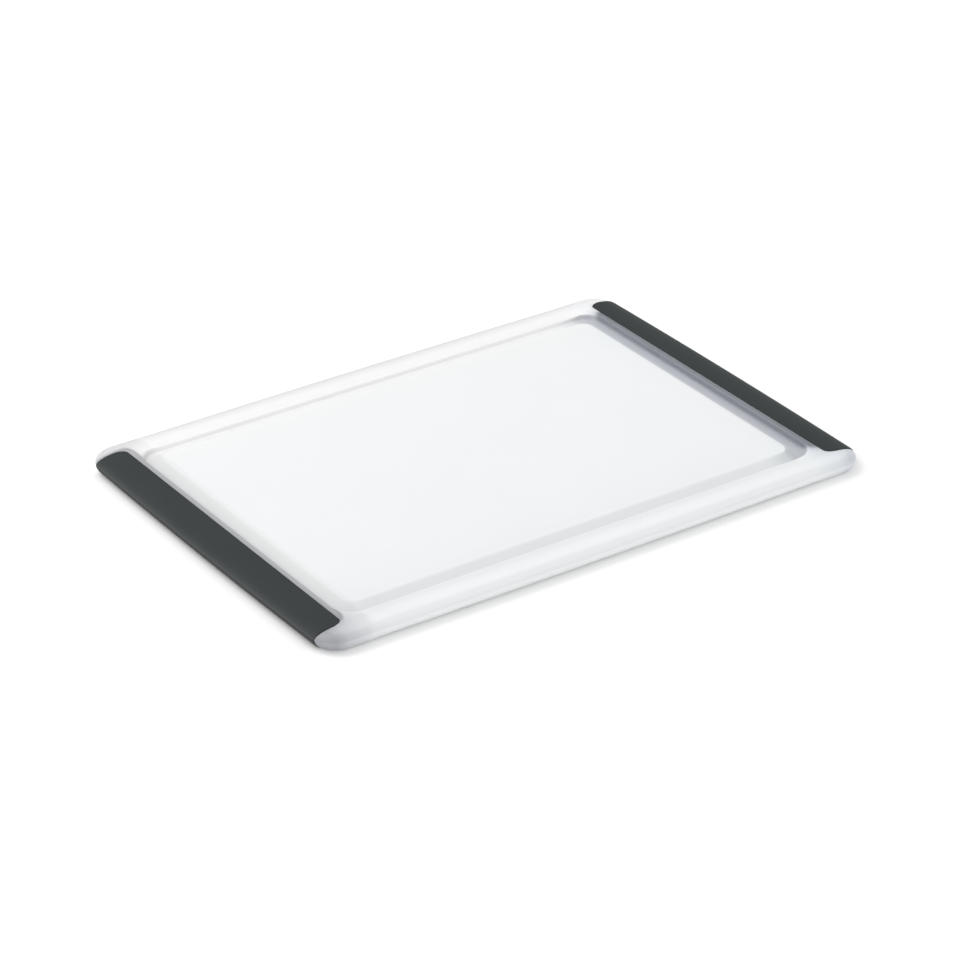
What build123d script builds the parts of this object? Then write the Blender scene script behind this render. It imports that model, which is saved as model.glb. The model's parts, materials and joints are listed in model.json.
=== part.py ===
"""Two-sided plastic cutting board with a juice groove and two rubber end grips.

Millimetres, +X along the length, +Y across the width, +Z up.
The origin is on the worktop, under the middle of the board: the undersides of the grips are at Z 0.
The board is one polypropylene moulding. Each short end is thinned to a tongue with slots through it,
and a thermoplastic rubber grip is moulded over the tongue and through the slots.
"""

from build123d import *
import math
import os

# Overall size, at the widest line round the edge
LENGTH = 540.0
WIDTH = 380.0
CORNER_RADIUS = 23.0
LEAST_CORNER_RADIUS = 3.0  # corners never get sharper than this as the outline moves in
END_BOW = 2.0             # how far each short end swells out in the middle
SIDE_BOW = 2.3            # how far each long side swells out in the middle
WIDEST_Z = 8.3            # height of the widest line, where the halves of the mould meet

# Thickness of the plastic board
UNDERSIDE_Z = 1.5
CUTTING_Z = 14.0
LAND_TOP_Z = 14.9         # the ends are thicker than the middle and carry the grips
LAND_UNDERSIDE_Z = 0.5
LAND_RISE_START_X = 205.0  # where the long rims begin to rise towards the end lands
LAND_RISE_END_X = 235.0
LAND_SIDE_SLOPE = 6.0     # width of the slope between an end land and the long rim

# How far in from the widest line the rounded edge becomes flat
SIDE_ROUND_TOP = 17.0
SIDE_ROUND_UNDERSIDE = 8.5
END_ROUND_TOP = 25.0
END_ROUND_UNDERSIDE = 9.2
ROUND_STEPS = 6           # level sections in each rounded half of the edge

# Rubber grips
GRIP_PROUD = 0.5          # the rubber stands this far above the plastic round it
GRIP_INNER_X = 240.2
GRIP_HALF_LENGTH = 169.5
GRIP_CORNER_RADIUS = 7

# Tongue inside each grip, and the slots that lock the rubber to it
TONGUE_OUTER_X = 262.0
TONGUE_HALF_LENGTH = 165.0
TONGUE_THICKNESS = 5.5
TONGUE_CORNER_RADIUS = 6.0
SLOT_COUNT = 6
SLOT_LENGTH = 34.0
SLOT_WIDTH = 9.0
SLOT_X = 251.0
SLOT_PITCH = 54.0

# Juice groove: a ramp falls outward from the cutting surface to the foot of a steep outer wall
ISLAND_HALF_LENGTH = 219.0
ISLAND_HALF_WIDTH = 145.2
ISLAND_CORNER_RADIUS = 11.0
ISLAND_EDGE_RADIUS = 14.0
GROOVE_HALF_LENGTH = 235.0
GROOVE_HALF_WIDTH = 159.0
GROOVE_CORNER_RADIUS = 20.0
GROOVE_FLOOR_Z = 10.5
GROOVE_FLOOR_WIDTH = 1.5
GROOVE_WALL_LEAN = 1.8    # how far the outer wall leans outward over its height
GROOVE_FOOT_RADIUS = 1.2

CLEARANCE_ABOVE = 1.0     # how far a cutting tool shape runs past the face that it opens


def rounded_outline(half_length, half_width, corner_radius, end_bow, side_bow, height):
    """A rectangle with swelling sides and round corners, as a face at one height."""
    corner_x = half_length - end_bow
    corner_y = half_width - side_bow
    right = ThreePointArc((corner_x, -corner_y), (half_length, 0), (corner_x, corner_y))
    back = ThreePointArc((corner_x, corner_y), (0, half_width), (-corner_x, corner_y))
    left = ThreePointArc((-corner_x, corner_y), (-half_length, 0), (-corner_x, -corner_y))
    front = ThreePointArc((-corner_x, -corner_y), (0, -half_width), (corner_x, -corner_y))
    outline = make_face(Curve() + [right, back, left, front])
    return Pos(0, 0, height) * fillet(outline.vertices(), corner_radius)


def edge_outline(end_inset, side_inset, height):
    """The board's outline, moved in from the widest line."""
    return rounded_outline(
        LENGTH / 2 - GRIP_PROUD - end_inset,
        WIDTH / 2 - side_inset,
        max(LEAST_CORNER_RADIUS, CORNER_RADIUS - (end_inset + side_inset) / 2),
        END_BOW,
        SIDE_BOW,
        height,
    )


def inset(height, flat_z, run):
    """How far a quarter-ellipse edge stands in from the widest line at a height."""
    share = (height - WIDEST_Z) / (flat_z - WIDEST_Z)
    return run * (1 - math.sqrt(max(0.0, 1 - share * share)))


def levels(flat_z):
    """Heights that divide a quarter-ellipse edge into equal angles."""
    angles = [math.pi / 2 * step / ROUND_STEPS for step in range(ROUND_STEPS + 1)]
    return [WIDEST_Z + (flat_z - WIDEST_Z) * math.sin(angle) for angle in angles]


def rounded_half(end_flat_z, side_flat_z, end_run, side_run, proud):
    """The upper or lower half of the board's body, with its rounded edge."""
    sections = [
        edge_outline(
            inset(height, end_flat_z, end_run) - proud,
            inset(height, side_flat_z, side_run) - proud,
            height,
        )
        for height in levels(side_flat_z)
    ]
    return loft(sections)


def end_lands(face_z, land_z, end_run, side_run):
    """The two raised pads on one face: they slope down to the long rims and to the middle."""
    start = edge_outline(inset(face_z, land_z, end_run), side_run, face_z)
    finish = edge_outline(end_run, side_run + LAND_SIDE_SLOPE, land_z)
    past_z = land_z + math.copysign(CLEARANCE_ABOVE, land_z - face_z)
    middle = Polygon(
        (-LAND_RISE_START_X, face_z),
        (LAND_RISE_START_X, face_z),
        (LAND_RISE_END_X, land_z),
        (LAND_RISE_END_X, past_z),
        (-LAND_RISE_END_X, past_z),
        (-LAND_RISE_END_X, land_z),
        align=None,
    )
    return loft([start, finish]) - extrude(Plane.XZ * middle, amount=WIDTH / 2, both=True)


def board_blank():
    """The plastic board before its groove and the recesses for the grips."""
    blank = rounded_half(LAND_TOP_Z, CUTTING_Z, END_ROUND_TOP, SIDE_ROUND_TOP, 0)
    blank += rounded_half(LAND_UNDERSIDE_Z, UNDERSIDE_Z, END_ROUND_UNDERSIDE, SIDE_ROUND_UNDERSIDE, 0)
    blank += end_lands(CUTTING_Z, LAND_TOP_Z, END_ROUND_TOP, SIDE_ROUND_TOP)
    blank += end_lands(UNDERSIDE_Z, LAND_UNDERSIDE_Z, END_ROUND_UNDERSIDE, SIDE_ROUND_UNDERSIDE)
    return blank


def level_rectangle(half_length, half_width, corner_radius, height):
    """A plain rectangle with round corners, as a face at one height."""
    return Pos(0, 0, height) * RectangleRounded(2 * half_length, 2 * half_width, corner_radius)


def groove_tool():
    """Everything that the juice groove takes away, down to the cutting surface."""
    top_z = LAND_TOP_Z + CLEARANCE_ABOVE
    foot = level_rectangle(
        GROOVE_HALF_LENGTH - GROOVE_WALL_LEAN,
        GROOVE_HALF_WIDTH - GROOVE_WALL_LEAN,
        GROOVE_CORNER_RADIUS - GROOVE_WALL_LEAN,
        GROOVE_FLOOR_Z,
    )
    brim = level_rectangle(GROOVE_HALF_LENGTH, GROOVE_HALF_WIDTH, GROOVE_CORNER_RADIUS, top_z)
    pocket = loft([foot, brim])
    pocket = fillet(pocket.faces().sort_by(Axis.Z)[0].edges(), GROOVE_FOOT_RADIUS)
    ramp_top = level_rectangle(ISLAND_HALF_LENGTH, ISLAND_HALF_WIDTH, ISLAND_CORNER_RADIUS, CUTTING_Z)
    ramp_inset = GROOVE_WALL_LEAN + GROOVE_FLOOR_WIDTH
    ramp_foot = level_rectangle(
        GROOVE_HALF_LENGTH - ramp_inset,
        GROOVE_HALF_WIDTH - ramp_inset,
        GROOVE_CORNER_RADIUS - ramp_inset,
        GROOVE_FLOOR_Z,
    )
    island = loft([ramp_foot, ramp_top])
    island = fillet(island.faces().sort_by(Axis.Z)[-1].edges(), ISLAND_EDGE_RADIUS)
    return pocket - island


def tongue(side):
    """The thin, slotted end of the board inside one grip. side is -1 for the left and 1 for the right."""
    middle_z = (LAND_TOP_Z + LAND_UNDERSIDE_Z) / 2
    length = TONGUE_OUTER_X - GRIP_INNER_X
    root = length / 2
    plate = Box(length + root, 2 * TONGUE_HALF_LENGTH, TONGUE_THICKNESS)
    plate = fillet(plate.edges().filter_by(Axis.Z).group_by(Axis.X)[-1], TONGUE_CORNER_RADIUS)
    plate = Pos(GRIP_INNER_X + (length - root) / 2, 0, middle_z) * plate
    slot = extrude(SlotOverall(SLOT_LENGTH, SLOT_WIDTH, rotation=90), amount=TONGUE_THICKNESS, both=True)
    for index in range(SLOT_COUNT):
        y = (index - (SLOT_COUNT - 1) / 2) * SLOT_PITCH
        plate -= Pos(SLOT_X, y, middle_z) * slot
    return plate if side > 0 else mirror(plate, Plane.YZ)


def grip_zone(side):
    """The block of space that one grip takes up, cut square at its ends."""
    depth = LENGTH / 2 - GRIP_INNER_X + CLEARANCE_ABOVE
    block = Box(depth, 2 * GRIP_HALF_LENGTH, 2 * (LAND_TOP_Z + CLEARANCE_ABOVE))
    block = fillet(block.edges().filter_by(Axis.Z).group_by(Axis.X)[0], GRIP_CORNER_RADIUS)
    block = Pos(GRIP_INNER_X + depth / 2, 0, 0) * block
    return block if side > 0 else mirror(block, Plane.YZ)


def grip_envelope():
    """The outer skin of both grips: the board's own end shape, a little proud of it."""
    top_z = LAND_TOP_Z + GRIP_PROUD
    underside_z = LAND_UNDERSIDE_Z - GRIP_PROUD
    envelope = rounded_half(top_z, top_z, END_ROUND_TOP, SIDE_ROUND_TOP, GRIP_PROUD)
    envelope += rounded_half(
        underside_z, underside_z, END_ROUND_UNDERSIDE, SIDE_ROUND_UNDERSIDE, GRIP_PROUD
    )
    return envelope


def board():
    """The plastic board, with its groove, and its ends thinned to slotted tongues."""
    body = board_blank() - groove_tool()
    for side in (-1, 1):
        body -= grip_zone(side) - tongue(side)
    return body


def grip(side, envelope):
    """One rubber grip, moulded round the tongue and through its slots."""
    return (envelope & grip_zone(side)) - tongue(side)


def main():
    os.makedirs("parts", exist_ok=True)
    envelope = grip_envelope()
    parts = {
        "board": board(),
        "left_grip": grip(-1, envelope),
        "right_grip": grip(1, envelope),
    }
    for name, shape in parts.items():
        export_step(shape, f"parts/{name}.step")


if __name__ == "__main__":
    main()
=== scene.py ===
"""Plastic cutting board with a juice groove and two rubber end grips, shown in a white studio.

Lengths are in metres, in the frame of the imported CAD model: +X along the board, +Y across it, +Z up.
The skin of the whole board is a stack of closed rings of points. They run from the cutting surface
over the juice groove and the rim to the underside. The grips are a raised part of the same skin.
"""

import json
import math
from dataclasses import astuple, dataclass

import bpy
import numpy as np
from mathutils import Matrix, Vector


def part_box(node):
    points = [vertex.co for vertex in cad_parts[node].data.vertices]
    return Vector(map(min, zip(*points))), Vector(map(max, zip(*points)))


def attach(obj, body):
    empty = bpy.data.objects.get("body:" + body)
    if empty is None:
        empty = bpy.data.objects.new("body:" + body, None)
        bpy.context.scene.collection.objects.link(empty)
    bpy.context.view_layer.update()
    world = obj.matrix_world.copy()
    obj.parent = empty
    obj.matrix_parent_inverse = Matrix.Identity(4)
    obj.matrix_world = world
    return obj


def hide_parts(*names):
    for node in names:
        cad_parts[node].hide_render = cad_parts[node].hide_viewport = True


MM = 0.001
# Keeps a division from being by zero
TINY = 1e-6

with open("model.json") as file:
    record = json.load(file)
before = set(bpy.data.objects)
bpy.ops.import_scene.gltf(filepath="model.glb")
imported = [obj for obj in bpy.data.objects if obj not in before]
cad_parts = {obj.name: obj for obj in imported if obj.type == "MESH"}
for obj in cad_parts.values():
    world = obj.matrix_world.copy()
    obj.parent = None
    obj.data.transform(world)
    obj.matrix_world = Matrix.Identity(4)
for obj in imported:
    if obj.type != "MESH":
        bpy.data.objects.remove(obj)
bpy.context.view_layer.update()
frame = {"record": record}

# ---------------------------------------------------------------- sizes from the frame
board_low, board_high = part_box("board")
grip_low, grip_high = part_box("right_grip")
mount_height = {mount["name"]: mount["pos_m"][2] for mount in frame["record"]["mounts"]}

LAND_TOP = board_high.z
LAND_UNDERSIDE = board_low.z
CUTTING_TOP = mount_height["cutting_surface"]
UNDERSIDE = mount_height["plain_underside"]
GRIP_PROUD = LAND_UNDERSIDE - grip_low.z
GRIP_INNER_X = grip_low.x
GRIP_HALF_LENGTH = grip_high.y
HALF_LENGTH = grip_high.x - GRIP_PROUD
HALF_WIDTH = board_high.y

# ---------------------------------------------------------------- outer edge
WIDEST_Z = 8.3 * MM
CORNER_RADIUS = 23 * MM
LEAST_CORNER_RADIUS = 2.5 * MM
END_BOW = 2.0 * MM
SIDE_BOW = 2.3 * MM
END_ROUND_TOP = 25 * MM
SIDE_ROUND_TOP = 15 * MM
END_ROUND_UNDERSIDE = 6.8 * MM
SIDE_ROUND_UNDERSIDE = 6.2 * MM
EDGE_STEPS = 18
LOW_LAND_STEPS = 5
# The rounded edges meet in a soft crease at the widest line: they leave it at these angles
TOP_CREASE = math.radians(1)
LOW_CREASE = math.radians(20)

# The rim and the underside rise to the thicker end lands between these two places
RISE_START = 205 * MM
RISE_END = 236 * MM

# ---------------------------------------------------------------- juice groove
BRIM_HALF_LENGTH = 235.2 * MM
BRIM_HALF_WIDTH = 160 * MM
BRIM_CORNER_RADIUS = 17 * MM
BRIM_DIP = 1.0 * MM
BRIM_ROUND = 1.3 * MM
BRIM_SHOULDER = 2 * MM
WALL_LEAN = 1.8 * MM
GROOVE_FLOOR = 10.5 * MM
FLOOR_WIDTH = 2.4 * MM
FOOT_ROUND = 1.7 * MM
RAMP_FOOT_ROUND = 6 * MM
ISLAND_HALF_LENGTH = 219 * MM
ISLAND_HALF_WIDTH = 145.2 * MM
ISLAND_CORNER_RADIUS = 11 * MM
ISLAND_EDGE_ROUND = 4 * MM
FLAT_MARGIN = 8 * MM
ARC_STEPS = 6

# ---------------------------------------------------------------- grips
GRIP_CORNER_RADIUS = 7 * MM
GRIP_CORNER_LENGTH = 11 * MM
GRIP_CORNER_FADE = 3
# The grips' inner edges run over flat ground as far as this
GRIP_FLAT_WIDTH = 4.2 * MM
# The ring through the grips' inner edges passes close outside their ends
GRIP_LINE_HALF_WIDTH = GRIP_HALF_LENGTH + 2.1 * MM
GRIP_LINE_CORNER = 1 * MM
GRIP_LINE_SIDE_BOW = 1 * MM

# ---------------------------------------------------------------- columns of points round a ring
# Up to these two places every ring has its points at the same Y along the ends, and at the same X
# along the sides. The points of the corner lie between them.
SHARED_Y = 132 * MM
SHARED_X = 195 * MM
CORNER_START_X = 238 * MM
ARC_START_Y = GRIP_HALF_LENGTH - GRIP_CORNER_RADIUS
SHARED_END_POINTS = 17
OUTER_END_POINTS = 12
GRIP_ARC_POINTS = 9
CORNER_POINTS = 13
NEAR_SIDE_POINTS = 13
MIDDLE_SIDE_POINTS = 24
END_Y = np.concatenate(
    [
        np.linspace(0, SHARED_Y, SHARED_END_POINTS),
        np.linspace(SHARED_Y, ARC_START_Y, OUTER_END_POINTS)[1:],
        np.linspace(ARC_START_Y, GRIP_HALF_LENGTH, GRIP_ARC_POINTS)[1:],
    ]
)
NEAR_SIDE_X = np.linspace(CORNER_START_X, SHARED_X, NEAR_SIDE_POINTS)
MIDDLE_SIDE_X = np.linspace(SHARED_X, 0, MIDDLE_SIDE_POINTS)
GRIP_END_COLUMN = len(END_Y) - 1

# How finely a quarter of a loop is drawn before the columns are picked from it
ARC_SAMPLES = 400
STRAIGHT_SAMPLES = 200


@dataclass
class Loop:
    """One closed line round the board: a rectangle with round corners and swelling sides.

    Its height is side_z along the long sides, and it goes over to end_z at the short ends.
    """

    half_length: float
    half_width: float
    corner: float
    end_bow: float
    side_bow: float
    side_z: float
    end_z: float


def between(first, second, share):
    """The loop a share of the way from one loop to another."""
    return Loop(*[a + (b - a) * share for a, b in zip(astuple(first), astuple(second))])


def rise(x):
    """0 along the middle of the board, and 1 at its thicker ends."""
    share = np.clip((np.abs(x) - RISE_START) / (RISE_END - RISE_START), 0, 1)
    return share * share * (3 - 2 * share)


def quarter_line(loop):
    """A fine line along a quarter of a loop, from the middle of a short end to that of a long side."""
    angles = np.linspace(0, math.pi / 2, ARC_SAMPLES)
    end_y = np.linspace(0, loop.half_width - loop.corner, STRAIGHT_SAMPLES, endpoint=False)
    side_x = np.linspace(loop.half_length - loop.corner, 0, STRAIGHT_SAMPLES)[1:]
    arc_x = loop.half_length - loop.corner * (1 - np.cos(angles))
    arc_y = loop.half_width - loop.corner * (1 - np.sin(angles))
    x = np.concatenate([np.full_like(end_y, loop.half_length), arc_x, side_x])
    y = np.concatenate([end_y, arc_y, np.full_like(side_x, loop.half_width)])
    bowed_x = x - loop.end_bow * x / loop.half_length * (y / loop.half_width) ** 2
    bowed_y = y - loop.side_bow * y / loop.half_width * (x / loop.half_length) ** 2
    return bowed_x, bowed_y


def at_y(line, y):
    """Points of a quarter line along the short end, at given Y."""
    return np.stack([np.interp(y, line[1], line[0]), y], axis=1)


def at_x(line, x):
    """Points of a quarter line along the long side, at given X."""
    return np.stack([x, np.interp(-x, -line[0], line[1])], axis=1)


def corner_points(line, first, last, count):
    """Points evenly spread along a quarter line between two of its points, without those two."""
    steps = np.hypot(np.diff(line[0]), np.diff(line[1]))
    travelled = np.concatenate([[0], np.cumsum(steps)])
    start = np.interp(first[1], line[1], travelled)
    finish = np.interp(-last[0], -line[0], travelled)
    places = np.linspace(start, finish, count + 2)[1:-1]
    x = np.interp(places, travelled, line[0])
    y = np.interp(places, travelled, line[1])
    return np.stack([x, y], axis=1)


def outer_quarter(loop):
    """Points of a loop outside the grips' inner edge, in line with the ends of the grips."""
    line = quarter_line(loop)
    end = at_y(line, END_Y)
    side = at_x(line, np.concatenate([NEAR_SIDE_X, MIDDLE_SIDE_X[1:]]))
    return np.concatenate([end, corner_points(line, end[-1], side[0], CORNER_POINTS), side])


def inner_quarter(loop):
    """Points of a loop inside the grips' inner edge, spread evenly round its own corner."""
    line = quarter_line(loop)
    end = at_y(line, END_Y[END_Y <= SHARED_Y])
    side = at_x(line, MIDDLE_SIDE_X)
    count = np.count_nonzero(END_Y > SHARED_Y) + CORNER_POINTS + len(NEAR_SIDE_X) - 1
    return np.concatenate([end, corner_points(line, end[-1], side[0], count), side])


def round_the_grip_corner(x, y):
    """Moves points so that the square inner corner of the grip's outline becomes a round one.

    The move is in full inside the corner's square, and fades out at GRIP_CORNER_FADE times its size.
    """
    across = (GRIP_INNER_X + GRIP_CORNER_LENGTH - np.abs(x)) / GRIP_CORNER_LENGTH
    along = (np.abs(y) - ARC_START_Y) / GRIP_CORNER_RADIUS
    inside = (across > 0) & (along > 0)
    square = np.maximum(np.maximum(across, along), TINY)
    disc = np.maximum(np.hypot(across, along), TINY)
    fade = np.clip((GRIP_CORNER_FADE - square) / (GRIP_CORNER_FADE - 1), 0, 1)
    scale = 1 + (square / disc - 1) * fade
    moved_x = GRIP_INNER_X + GRIP_CORNER_LENGTH * (1 - across * scale)
    moved_y = ARC_START_Y + GRIP_CORNER_RADIUS * along * scale
    return (
        np.where(inside, np.sign(x) * moved_x, x),
        np.where(inside, np.sign(y) * moved_y, y),
    )


@dataclass
class Ring:
    """The points of a loop, in plan, with the heights of its long sides and of its short ends."""

    x: np.ndarray
    y: np.ndarray
    side_z: float
    end_z: float

    def points(self):
        """The ring's points in space, with the inner corners of the grips' outline rounded."""
        z = self.side_z + (self.end_z - self.side_z) * rise(self.x)
        x, y = round_the_grip_corner(self.x, self.y)
        return np.stack([x, y, z], axis=1)

    def towards(self, other, share):
        """The ring a share of the way to another ring."""
        return Ring(
            self.x + (other.x - self.x) * share,
            self.y + (other.y - self.y) * share,
            self.side_z + (other.side_z - self.side_z) * share,
            self.end_z + (other.end_z - self.end_z) * share,
        )


def ring(loop, quarter_points):
    """A loop's whole ring, anticlockwise from the middle of the right end."""
    x, y = quarter_points(loop).T
    return Ring(
        np.concatenate([x[:-1], -x[:0:-1], -x[:-1], x[:0:-1]]),
        np.concatenate([y[:-1], y[:0:-1], -y[:-1], -y[:0:-1]]),
        loop.side_z,
        loop.end_z,
    )


# ---------------------------------------------------------------- loops of the rim
def edge_loop(angle, crease, end_round, side_round, end_flat, side_flat):
    """A loop of the rounded edge, from the crease at the widest line to 90 degrees at the flat."""
    inward = 1 - math.cos(angle) / math.cos(crease)
    upward = (math.sin(angle) - math.sin(crease)) / (1 - math.sin(crease))
    corner_loss = (end_round + side_round) / 2 * inward
    return Loop(
        HALF_LENGTH - end_round * inward,
        HALF_WIDTH - side_round * inward,
        max(LEAST_CORNER_RADIUS, CORNER_RADIUS - corner_loss),
        END_BOW,
        SIDE_BOW,
        WIDEST_Z + (side_flat - WIDEST_Z) * upward,
        WIDEST_Z + (end_flat - WIDEST_Z) * upward,
    )


def top_edge(angle):
    return edge_loop(angle, TOP_CREASE, END_ROUND_TOP, SIDE_ROUND_TOP, LAND_TOP, CUTTING_TOP)


def low_edge(angle):
    return edge_loop(
        angle, LOW_CREASE, END_ROUND_UNDERSIDE, SIDE_ROUND_UNDERSIDE, LAND_UNDERSIDE, UNDERSIDE
    )


def grip_line(side_z, end_z):
    """The loop along the inner edges of the grips."""
    return Loop(
        GRIP_INNER_X, GRIP_LINE_HALF_WIDTH, GRIP_LINE_CORNER, 0, GRIP_LINE_SIDE_BOW, side_z, end_z
    )


TOP_LINE = grip_line(CUTTING_TOP, LAND_TOP)
LOW_LINE = grip_line(UNDERSIDE, LAND_UNDERSIDE)


def rim_loops(distances):
    """The loops from the grips' inner edge on top, over the widest line, to their inner edge below.

    The first of them are at given distances from the inner edge, the same above and below.
    """
    top_end = top_edge(math.pi / 2)
    low_end = low_edge(math.pi / 2)
    top_width = top_end.half_length - GRIP_INNER_X
    low_width = low_end.half_length - GRIP_INNER_X
    far_shares = np.linspace(distances[-1] / low_width, 1, LOW_LAND_STEPS + 1)[1:-1]
    top_angles = np.linspace(math.pi / 2, TOP_CREASE, EDGE_STEPS + 1)
    low_angles = np.linspace(LOW_CREASE, math.pi / 2, EDGE_STEPS + 1)[1:]
    loops = [between(TOP_LINE, top_end, distance / top_width) for distance in distances]
    loops += [top_edge(angle) for angle in top_angles]
    loops += [low_edge(angle) for angle in low_angles]
    loops += [between(LOW_LINE, low_end, share) for share in far_shares[::-1]]
    loops += [between(LOW_LINE, low_end, distance / low_width) for distance in distances[::-1]]
    return loops


# ---------------------------------------------------------------- loops of the groove
def rounded_line(points, radii):
    """A line through 2-D points, with its inner corners replaced by arcs."""
    line = [np.array(points[0])]
    for before, corner, after, radius in zip(points, points[1:], points[2:], radii):
        corner = np.array(corner)
        back = np.array(before) - corner
        ahead = np.array(after) - corner
        back /= np.linalg.norm(back)
        ahead /= np.linalg.norm(ahead)
        half_angle = math.acos(back @ ahead) / 2
        reach = radius / math.tan(half_angle)
        middle = (back + ahead) / np.linalg.norm(back + ahead)
        centre = corner + middle * radius / math.sin(half_angle)
        start = corner + back * reach - centre
        finish = corner + ahead * reach - centre
        sweep = math.pi - 2 * half_angle
        for share in np.linspace(0, 1, ARC_STEPS + 1):
            from_start = math.sin((1 - share) * sweep) / math.sin(sweep)
            from_finish = math.sin(share * sweep) / math.sin(sweep)
            line.append(centre + from_start * start + from_finish * finish)
    line.append(np.array(points[-1]))
    return line


def groove_section(brim, brim_z, island):
    """Distance from the middle, and height, of points across the groove, from the cutting surface out."""
    foot = brim - WALL_LEAN
    corners = [
        (island - FLAT_MARGIN, CUTTING_TOP),
        (island, CUTTING_TOP),
        (foot - FLOOR_WIDTH, GROOVE_FLOOR),
        (foot, GROOVE_FLOOR),
        (brim, brim_z),
        (brim + BRIM_SHOULDER, brim_z),
    ]
    return rounded_line(corners, (ISLAND_EDGE_ROUND, RAMP_FOOT_ROUND, FOOT_ROUND, BRIM_ROUND))


def groove_loops():
    """The groove, from the flat of the cutting surface to the rim."""
    end_section = groove_section(BRIM_HALF_LENGTH, LAND_TOP, ISLAND_HALF_LENGTH)
    side_section = groove_section(BRIM_HALF_WIDTH, CUTTING_TOP - BRIM_DIP, ISLAND_HALF_WIDTH)
    loops = []
    for (end_reach, end_z), (side_reach, side_z) in zip(end_section, side_section):
        share = (side_reach - ISLAND_HALF_WIDTH) / (BRIM_HALF_WIDTH - ISLAND_HALF_WIDTH)
        corner = ISLAND_CORNER_RADIUS + (BRIM_CORNER_RADIUS - ISLAND_CORNER_RADIUS) * share
        loops.append(Loop(end_reach, side_reach, corner, 0, 0, side_z, end_z))
    return loops


# ---------------------------------------------------------------- faces of the meshes
SHARP_ANGLE_DEGREES = 50


def skin_faces(grid):
    """Quads between neighbouring rows and columns of a table of vertex numbers."""
    faces = []
    for row, next_row in zip(grid, grid[1:]):
        for column in range(len(row) - 1):
            faces.append((row[column], next_row[column], next_row[column + 1], row[column + 1]))
    return faces


def faces_under_patch(grid, flat_rows):
    """The inner wall and the two ends that close the patch of skin over a grip, facing out of the grip.

    The patch's rows run from its inner edge on top to its inner edge below. Its first and last
    flat_rows rows lie over each other.
    """
    faces = []
    for column in range(len(grid[0]) - 1):
        faces.append((grid[0][column + 1], grid[-1][column + 1], grid[-1][column], grid[0][column]))
    for row in range(flat_rows - 1):
        near = (grid[row], grid[-1 - row])
        far = (grid[row + 1], grid[-2 - row])
        faces.append((near[0][0], near[1][0], far[1][0], far[0][0]))
        faces.append((far[0][-1], far[1][-1], near[1][-1], near[0][-1]))
    end_rows = grid[flat_rows - 1 : len(grid) - flat_rows + 1]
    faces.append(tuple(row[-1] for row in end_rows))
    faces.append(tuple(row[0] for row in reversed(end_rows)))
    return faces


def flipped(faces):
    return [tuple(reversed(face)) for face in faces]


def new_piece(name, points, faces, slot_name, node):
    """A smooth-shaded piece that stands for a CAD node, with sharp edges where its faces meet steeply."""
    mesh = bpy.data.meshes.new(name)
    mesh.from_pydata([tuple(point) for point in points], [], faces)
    mesh.shade_smooth()
    mesh.set_sharp_from_angle(angle=math.radians(SHARP_ANGLE_DEGREES))
    piece = bpy.data.objects.new(name, mesh)
    bpy.context.scene.collection.objects.link(piece)
    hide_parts(node)
    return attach(piece, "root")


# ---------------------------------------------------------------- board
BOARD_FLAT_STEPS = 6
BOARD_FLAT_DISTANCES = np.linspace(0, GRIP_FLAT_WIDTH, BOARD_FLAT_STEPS + 1)
STRIP_STEPS = 6
UNDERSIDE_STEPS = 10
UNDERSIDE_FLAT = Loop(
    half_length=204 * MM,
    half_width=138 * MM,
    corner=5 * MM,
    end_bow=0,
    side_bow=0,
    side_z=UNDERSIDE,
    end_z=LAND_UNDERSIDE,
)


def board_mesh():
    """Points and faces of the board, which is open to the grips at its two ends."""
    groove = [ring(loop, inner_quarter) for loop in groove_loops()]
    rim = [ring(loop, outer_quarter) for loop in rim_loops(BOARD_FLAT_DISTANCES)]
    flat_below = ring(UNDERSIDE_FLAT, inner_quarter)
    strip = [groove[-1].towards(rim[0], share) for share in np.linspace(0, 1, STRIP_STEPS + 1)[1:-1]]
    below = [rim[-1].towards(flat_below, share) for share in np.linspace(0, 1, UNDERSIDE_STEPS + 1)[1:]]
    rings = groove + strip + rim + below
    points = np.concatenate([one.points() for one in rings])

    count = len(rings[0].x)
    numbers = np.arange(len(points)).reshape(len(rings), count)
    first = len(groove) + len(strip)
    last = first + len(rim) - 1
    zones = [np.arange(-GRIP_END_COLUMN, GRIP_END_COLUMN + 1) + turn for turn in (0, count // 2)]
    between_zones = [
        np.arange(GRIP_END_COLUMN, count // 2 - GRIP_END_COLUMN + 1) + turn for turn in (0, count // 2)
    ]
    all_round = np.arange(count + 1)

    def part(rows, columns):
        return numbers[rows][:, columns % count].tolist()

    faces = [tuple(numbers[0]), tuple(numbers[-1][::-1])]
    faces += skin_faces(part(slice(0, first + 1), all_round))
    faces += skin_faces(part(slice(last, None), all_round))
    for columns in between_zones:
        faces += skin_faces(part(slice(first, last + 1), columns))
    for columns in zones:
        patch = part(slice(first, last + 1), columns)
        faces += flipped(faces_under_patch(patch, len(BOARD_FLAT_DISTANCES)))
    return points, faces


# ---------------------------------------------------------------- grips
GRIP_EDGE_STEPS = 6
GRIP_FLAT_STEPS = 7
GRIP_END_STEPS = 11
GRIP_EDGE_DISTANCES = GRIP_PROUD * (1 - np.cos(np.linspace(0, math.pi / 2, GRIP_EDGE_STEPS + 1)))
GRIP_FLAT_DISTANCES = np.concatenate(
    [GRIP_EDGE_DISTANCES, np.linspace(GRIP_PROUD, GRIP_FLAT_WIDTH, GRIP_FLAT_STEPS + 1)[1:]]
)
GRIP_END_DISTANCES = np.concatenate(
    [GRIP_EDGE_DISTANCES, np.linspace(GRIP_PROUD, GRIP_CORNER_RADIUS, GRIP_END_STEPS + 1)[1:]]
)
GRIP_MIDDLE_COLUMNS = 61


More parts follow.
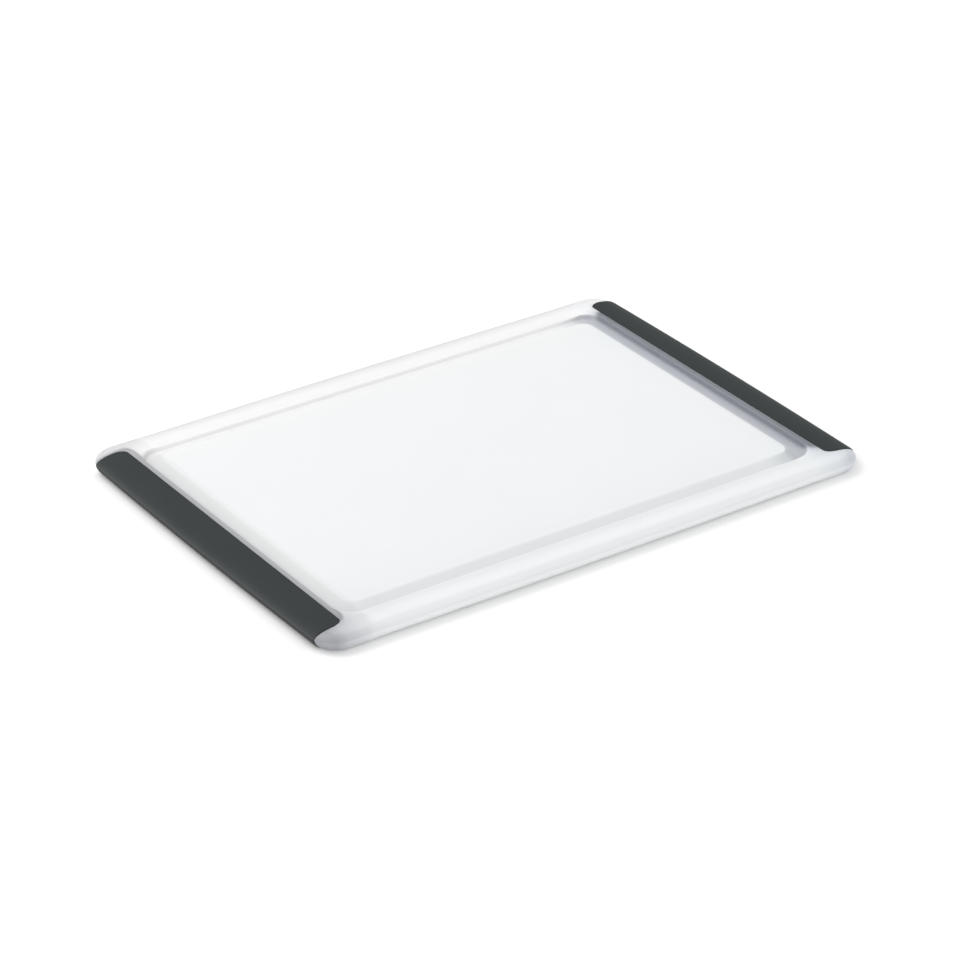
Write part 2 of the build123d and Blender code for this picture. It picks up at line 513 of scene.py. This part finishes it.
def grip_surface():
    """The patch of the board's skin under the right grip, as a table of points."""
    half = GRIP_HALF_LENGTH - GRIP_END_DISTANCES
    middle = np.linspace(-half[-1], half[-1], GRIP_MIDDLE_COLUMNS)
    y = np.concatenate([-half[:-1], middle, half[-2::-1]])
    rows = []
    for loop in rim_loops(GRIP_FLAT_DISTANCES):
        line = quarter_line(loop)
        x = at_y(line, np.abs(y))[:, 0]
        rows.append(Ring(x, y, loop.side_z, loop.end_z).points())
    return np.array(rows), y


def grip_mesh():
    """Points and faces of the right grip: the skin raised, with a rounded edge all round."""
    surface, y = grip_surface()
    normal = np.cross(np.gradient(surface, axis=0), np.gradient(surface, axis=1))
    normal /= np.linalg.norm(normal, axis=2, keepdims=True)
    rows, columns = surface.shape[:2]
    from_inner_edge = np.full(rows, GRIP_CORNER_RADIUS)
    from_inner_edge[: len(GRIP_FLAT_DISTANCES)] = GRIP_FLAT_DISTANCES
    from_inner_edge[-len(GRIP_FLAT_DISTANCES) :] = GRIP_FLAT_DISTANCES[::-1]
    from_end = GRIP_HALF_LENGTH - np.abs(y)
    inside = np.minimum(from_inner_edge[:, None], from_end[None, :])
    short_of_flat = np.clip(GRIP_PROUD - inside, 0, GRIP_PROUD)
    height = np.sqrt(GRIP_PROUD**2 - short_of_flat**2)
    points = (surface + normal * height[:, :, None]).reshape(-1, 3)
    grid = np.arange(rows * columns).reshape(rows, columns).tolist()
    return points, skin_faces(grid) + faces_under_patch(grid, len(GRIP_FLAT_DISTANCES))


# ---------------------------------------------------------------- materials
def new_material(name):
    """A node material, with its Principled shader."""
    material = bpy.data.materials.new(name)
    material.use_nodes = True
    return material, material.node_tree.nodes["Principled BSDF"]


def add_node(material, kind, **values):
    """A node with some of its inputs set. An underscore in a name stands for a space."""
    node = material.node_tree.nodes.new(kind)
    for name, value in values.items():
        node.inputs[name.replace("_", " ")].default_value = value
    return node


def math_node(material, operation, *inputs):
    """A Math node. Each input is a number or the socket that feeds it."""
    node = add_node(material, "ShaderNodeMath")
    node.operation = operation
    for socket, value in zip(node.inputs, inputs):
        if isinstance(value, bpy.types.NodeSocket):
            material.node_tree.links.new(value, socket)
        else:
            socket.default_value = value
    return node.outputs["Value"]


def ramp(material, value, stops):
    """Colours that follow a value. Each stop is a value and its colour."""
    low = stops[0][0]
    high = stops[-1][0]
    span = math_node(material, "SUBTRACT", value, low)
    share = math_node(material, "DIVIDE", span, high - low)
    node = add_node(material, "ShaderNodeValToRGB")
    elements = node.color_ramp.elements
    for place, colour in stops[1:-1]:
        elements.new((place - low) / (high - low)).color = (*colour, 1)
    elements[0].color = (*stops[0][1], 1)
    elements[len(elements) - 1].color = (*stops[-1][1], 1)
    material.node_tree.links.new(share, node.inputs["Fac"])
    return node.outputs["Color"]


def mixed(material, blend_type, first, second):
    """Two colour sockets blended in full."""
    node = add_node(material, "ShaderNodeMix")
    node.data_type = "RGBA"
    node.blend_type = blend_type
    node.inputs[0].default_value = 1
    colours = [socket for socket in node.inputs if socket.type == "RGBA"]
    material.node_tree.links.new(first, colours[0])
    material.node_tree.links.new(second, colours[1])
    return next(socket for socket in node.outputs if socket.type == "RGBA")


def noise(material, place, scale, detail, roughness):
    """A value that wanders between about 0 and 1 over the piece."""
    node = add_node(material, "ShaderNodeTexNoise", Scale=scale, Detail=detail, Roughness=roughness)
    material.node_tree.links.new(place, node.inputs["Vector"])
    return node.outputs["Fac"]


def add_grain(material, shader, place, scale, strength, depth):
    """A fine grain in the surface, as a bump."""
    bump = add_node(material, "ShaderNodeBump", Strength=strength, Distance=depth)
    grain = noise(material, place, scale, detail=2, roughness=0.6)
    material.node_tree.links.new(grain, bump.inputs["Height"])
    material.node_tree.links.new(bump.outputs["Normal"], shader.inputs["Normal"])


def place_on_piece(material):
    """The place on the piece in the shared frame: its vector socket, and a node with its X, Y and Z."""
    coordinates = add_node(material, "ShaderNodeTexCoord")
    separate = add_node(material, "ShaderNodeSeparateXYZ")
    material.node_tree.links.new(coordinates.outputs["Object"], separate.inputs["Vector"])
    return coordinates.outputs["Object"], separate


# The plastic's colour is multiplied by the painted light and shade below. They were all set against the
# photo's one view, so they paint its light and shade in, and the two ends and the two sides differ.
# Painted shade by height: darker everywhere below the cutting surface, in the groove and down the rim
PAINTED_SHADE_BY_HEIGHT = (
    (4 * MM, (0.89, 0.895, 0.89)),
    (8.2 * MM, (0.94, 0.945, 0.945)),
    (9 * MM, (0.97, 0.97, 0.975)),
    (10.5 * MM, (0.925, 0.925, 0.925)),
    (13.1 * MM, (0.93, 0.93, 0.925)),
    (13.8 * MM, (1.0, 1.0, 1.0)),
)
# Painted light and shade across the width: far groove wall lighter, far outer rim darker, small steps
# near side
PAINTED_LIGHT_ACROSS_WIDTH = (
    (-186 * MM, (1.05, 1.06, 1.06)),
    (-177 * MM, (1.02, 1.03, 1.03)),
    (-168 * MM, (0.95, 0.965, 0.965)),
    (-161 * MM, (0.99, 1.0, 1.0)),
    (-140 * MM, (0.97, 0.985, 0.985)),
    (-90 * MM, (1.0, 1.0, 1.0)),
    (110 * MM, (0.99, 1.0, 1.0)),
    (148 * MM, (1.0, 1.0, 0.99)),
    (157 * MM, (1.13, 1.12, 1.11)),
    (163 * MM, (1.14, 1.13, 1.13)),
    (171 * MM, (1.04, 1.03, 1.03)),
    (184 * MM, (0.82, 0.81, 0.81)),
)
# Painted shade by the distance in plan from a grip's inner edge or, for the tips, from a corner on the
# near side
RIGHT_GRIP_PAINTED_SHADE = (
    (0 * MM, (0.245, 0.25, 0.275)),
    (4.5 * MM, (0.24, 0.25, 0.28)),
    (6.3 * MM, (0.35, 0.36, 0.40)),
    (8 * MM, (0.57, 0.585, 0.635)),
    (9.6 * MM, (0.71, 0.72, 0.76)),
    (13 * MM, (0.83, 0.84, 0.87)),
    (18 * MM, (0.92, 0.93, 0.945)),
    (25 * MM, (0.975, 0.985, 0.99)),
    (45 * MM, (1.0, 1.0, 1.0)),
)
RIGHT_GROOVE_PAINTED_SHADE = (
    (8 * MM, (1.0, 1.0, 1.0)),
    (9.6 * MM, (0.96, 0.965, 0.98)),
    (13 * MM, (0.785, 0.79, 0.815)),
    (18 * MM, (0.74, 0.745, 0.77)),
    (24 * MM, (0.70, 0.71, 0.73)),
    (30 * MM, (0.85, 0.86, 0.87)),
    (42 * MM, (0.965, 0.97, 0.97)),
    (55 * MM, (1.0, 1.0, 1.0)),
)
# The right groove's painted shade leaves off over this height, and this far from the middle of the width.
# Nothing stops it below, so it falls on the underside too.
ABOVE_GROOVE = (
    (13.65 * MM, (0, 0, 0)),
    (13.9 * MM, (1, 1, 1)),
)
BESIDE_GROOVE = (
    (156.5 * MM, (0, 0, 0)),
    (160 * MM, (1, 1, 1)),
)
RIGHT_TIP_PAINTED_SHADE = (
    (0 * MM, (0.65, 0.66, 0.72)),
    (14 * MM, (0.74, 0.75, 0.80)),
    (30 * MM, (0.92, 0.93, 0.95)),
    (55 * MM, (1.0, 1.0, 1.0)),
)
LEFT_STRIP_PAINTED_SHADE = (
    (0 * MM, (0.43, 0.43, 0.445)),
    (2.5 * MM, (0.49, 0.49, 0.505)),
    (5.4 * MM, (0.43, 0.43, 0.44)),
    (6.3 * MM, (0.67, 0.67, 0.68)),
    (7.5 * MM, (0.82, 0.82, 0.825)),
    (13 * MM, (0.88, 0.88, 0.875)),
    (20 * MM, (0.91, 0.91, 0.905)),
    (25 * MM, (1.0, 1.0, 1.0)),
)
LEFT_TIP_PAINTED_SHADE = (
    (0 * MM, (0.55, 0.55, 0.58)),
    (10 * MM, (0.77, 0.77, 0.80)),
    (24 * MM, (0.91, 0.91, 0.93)),
    (45 * MM, (0.975, 0.975, 0.98)),
    (90 * MM, (1.0, 1.0, 1.0)),
)


@dataclass
class PaintedShadeZone:
    """A zone of painted shade in the plastic at one end of the board, round a line along the width.

    sign is 1 at the right end and -1 at the left. inner_x is how far out the line lies, and low_y
    and high_y are its two ends. The distance past each of them is multiplied by its fade.
    """

    sign: int
    inner_x: float
    low_y: float
    low_fade: float
    high_y: float
    high_fade: float
    painted_shades: tuple
    groove_painted_shades: tuple = ()


# Zones of painted shade beside the grips and round the near tips
PAINTED_SHADE_ZONES = (
    PaintedShadeZone(
        sign=1,
        inner_x=GRIP_INNER_X,
        low_y=-147 * MM,
        low_fade=0.85,
        high_y=145 * MM,
        high_fade=0.85,
        painted_shades=RIGHT_GRIP_PAINTED_SHADE,
        groove_painted_shades=RIGHT_GROOVE_PAINTED_SHADE,
    ),
    PaintedShadeZone(
        sign=1,
        inner_x=HALF_LENGTH,
        low_y=-HALF_WIDTH,
        low_fade=1,
        high_y=-HALF_WIDTH,
        high_fade=1.2,
        painted_shades=RIGHT_TIP_PAINTED_SHADE,
    ),
    PaintedShadeZone(
        sign=-1,
        inner_x=GRIP_INNER_X,
        low_y=-154 * MM,
        low_fade=0.55,
        high_y=160 * MM,
        high_fade=0.5,
        painted_shades=LEFT_STRIP_PAINTED_SHADE,
    ),
    PaintedShadeZone(
        sign=-1,
        inner_x=256 * MM,
        low_y=-HALF_WIDTH,
        low_fade=1,
        high_y=-GRIP_HALF_LENGTH,
        high_fade=1.5,
        painted_shades=LEFT_TIP_PAINTED_SHADE,
    ),
)


def excess(material, value, limit):
    """How far a value is over a limit, or 0."""
    return math_node(material, "MAXIMUM", math_node(material, "SUBTRACT", value, limit), 0)


def painted_shade(material, place, shade_zone):
    """The plastic's painted shade by the distance in plan from the line of a painted shade zone."""
    x = math_node(material, "MULTIPLY", place.outputs["X"], shade_zone.sign)
    y = place.outputs["Y"]
    short_of_line = excess(material, shade_zone.inner_x, x)
    past_high = math_node(material, "MULTIPLY", excess(material, y, shade_zone.high_y), shade_zone.high_fade)
    past_low = math_node(material, "MULTIPLY", excess(material, shade_zone.low_y, y), shade_zone.low_fade)
    along = math_node(material, "POWER", math_node(material, "ADD", past_high, past_low), 2)
    across = math_node(material, "POWER", short_of_line, 2)
    distance = math_node(material, "SQRT", math_node(material, "ADD", across, along))
    everywhere = ramp(material, distance, shade_zone.painted_shades)
    if not shade_zone.groove_painted_shades:
        return everywhere
    above = ramp(material, place.outputs["Z"], ABOVE_GROOVE)
    beside = ramp(material, math_node(material, "ABSOLUTE", y), BESIDE_GROOVE)
    outside = mixed(material, "LIGHTEN", above, beside)
    groove = mixed(material, "LIGHTEN", ramp(material, distance, shade_zone.groove_painted_shades), outside)
    return mixed(material, "MULTIPLY", everywhere, groove)


CLOUD_WHITES = (
    (0, (0.85, 0.855, 0.865)),
    (1, (0.87, 0.875, 0.885)),
)


def white_plastic():
    """Smooth milky polypropylene, through which light travels some way, with painted light and shade in
    its colour.
    """
    material, shader = new_material("white_plastic")
    shader.inputs["Roughness"].default_value = 0.38
    shader.inputs["IOR"].default_value = 1.49
    shader.subsurface_method = "RANDOM_WALK"
    shader.inputs["Subsurface Weight"].default_value = 1.0
    shader.inputs["Subsurface Radius"].default_value = (1.0, 1.0, 1.0)
    shader.inputs["Subsurface Scale"].default_value = 4 * MM
    vector, place = place_on_piece(material)
    colour = ramp(material, noise(material, vector, scale=14, detail=3, roughness=0.5), CLOUD_WHITES)
    # Painted light and shade, multiplied into the colour
    painted_shades = [ramp(material, place.outputs["Z"], PAINTED_SHADE_BY_HEIGHT)]
    painted_shades.append(ramp(material, place.outputs["Y"], PAINTED_LIGHT_ACROSS_WIDTH))
    painted_shades += [painted_shade(material, place, shade_zone) for shade_zone in PAINTED_SHADE_ZONES]
    for one in painted_shades:
        colour = mixed(material, "MULTIPLY", colour, one)
    material.node_tree.links.new(colour, shader.inputs["Base Color"])
    add_grain(material, shader, vector, scale=1800, strength=0.12, depth=0.02 * MM)
    return material


CLOUD_BLACKS = (
    (0, (0.019, 0.026, 0.027)),
    (1, (0.025, 0.032, 0.033)),
)
# Added to the rubber's colour by its height: a painted highlight line runs close above the widest line,
# with a faint reddish tint below it
PAINTED_HIGHLIGHT_LINE = (
    (7 * MM, (0.014, 0.007, 0.007)),
    (8.4 * MM, (0.016, 0.01, 0.01)),
    (9.3 * MM, (0.06, 0.056, 0.057)),
    (10.1 * MM, (0.03, 0.03, 0.03)),
    (12 * MM, (0.004, 0.004, 0.004)),
    (13 * MM, (0, 0, 0)),
)


def charcoal_rubber():
    """Soft dark elastomer with a fine moulded grain."""
    material, shader = new_material("charcoal_rubber")
    shader.inputs["Roughness"].default_value = 0.6
    shader.inputs["IOR"].default_value = 1.5
    shader.inputs["Specular IOR Level"].default_value = 0.22
    vector, place = place_on_piece(material)
    tint = ramp(material, noise(material, vector, scale=30, detail=3, roughness=0.5), CLOUD_BLACKS)
    # The rubber's colour with the painted highlight line added
    colour = mixed(material, "ADD", tint, ramp(material, place.outputs["Z"], PAINTED_HIGHLIGHT_LINE))
    material.node_tree.links.new(colour, shader.inputs["Base Color"])
    add_grain(material, shader, vector, scale=2600, strength=0.35, depth=0.03 * MM)
    return material


# ---------------------------------------------------------------- pieces
def add_pieces():
    board = new_piece("board_moulding", *board_mesh(), "white_plastic", "board")
    board.data.materials.append(white_plastic())
    points, faces = grip_mesh()
    half_turn = np.array([-1, -1, 1])
    rubber = charcoal_rubber()
    right = new_piece("right_grip_skin", points, faces, "charcoal_rubber", "right_grip")
    left = new_piece("left_grip_skin", points * half_turn, faces, "charcoal_rubber", "left_grip")
    right.data.materials.append(rubber)
    left.data.materials.append(rubber)


# ---------------------------------------------------------------- studio
FLOOR_HALF_SIZE = 6.0
FLOOR_WHITE = 0.92
FLOOR_GLOW = 0.13
WORLD_STRENGTH = 0.80
KEY_LIGHT_PLACE = (-0.8, 1.6, 2.3)
KEY_LIGHT_SIZE = 2.0
KEY_LIGHT_WATTS = 32


def add_floor():
    """A plain white floor under the board, which gives off a little light of its own."""
    half = FLOOR_HALF_SIZE
    mesh = bpy.data.meshes.new("floor")
    corners = [(-half, -half, 0), (half, -half, 0), (half, half, 0), (-half, half, 0)]
    mesh.from_pydata(corners, [], [(0, 1, 2, 3)])
    floor = bpy.data.objects.new("floor", mesh)
    bpy.context.scene.collection.objects.link(floor)
    material, shader = new_material("white_floor")
    shader.inputs["Base Color"].default_value = (FLOOR_WHITE, FLOOR_WHITE, FLOOR_WHITE, 1)
    shader.inputs["Emission Color"].default_value = (1, 1, 1, 1)
    shader.inputs["Emission Strength"].default_value = FLOOR_GLOW
    shader.inputs["Roughness"].default_value = 1.0
    shader.inputs["Specular IOR Level"].default_value = 0.0
    mesh.materials.append(material)


def looking(place, target):
    """The rotation of a light or a camera at a place that looks at a target."""
    return (Vector(target) - Vector(place)).to_track_quat("-Z", "Y").to_euler()


def add_key_light():
    """A square softbox that looks at the board's middle from high behind it, to the camera's left."""
    light = bpy.data.lights.new("high_behind_left", "AREA")
    light.size = KEY_LIGHT_SIZE
    light.energy = KEY_LIGHT_WATTS
    lamp = bpy.data.objects.new("high_behind_left", light)
    lamp.location = KEY_LIGHT_PLACE
    lamp.rotation_euler = looking(KEY_LIGHT_PLACE, (0, 0, 0))
    bpy.context.scene.collection.objects.link(lamp)


def add_world_light():
    """Even white light from all round."""
    world = bpy.data.worlds.new("studio")
    world.use_nodes = True
    background = world.node_tree.nodes["Background"]
    background.inputs["Color"].default_value = (1, 1, 1, 1)
    background.inputs["Strength"].default_value = WORLD_STRENGTH
    bpy.context.scene.world = world


# ---------------------------------------------------------------- camera
CAMERA_PLACE = (-1.5336, -2.2301, 1.4888)
CAMERA_TARGET = (-0.0098, -0.0203, 0.0)
LENS_MM = 138.33
SENSOR_MM = 36


def add_camera():
    data = bpy.data.cameras.new("camera")
    data.lens = LENS_MM
    data.sensor_width = SENSOR_MM
    camera = bpy.data.objects.new("camera", data)
    camera.location = CAMERA_PLACE
    camera.rotation_euler = looking(CAMERA_PLACE, CAMERA_TARGET)
    bpy.context.scene.collection.objects.link(camera)
    bpy.context.scene.camera = camera


add_pieces()
add_floor()
add_world_light()
add_key_light()
add_camera()
bpy.context.scene.view_settings.view_transform = "Standard"
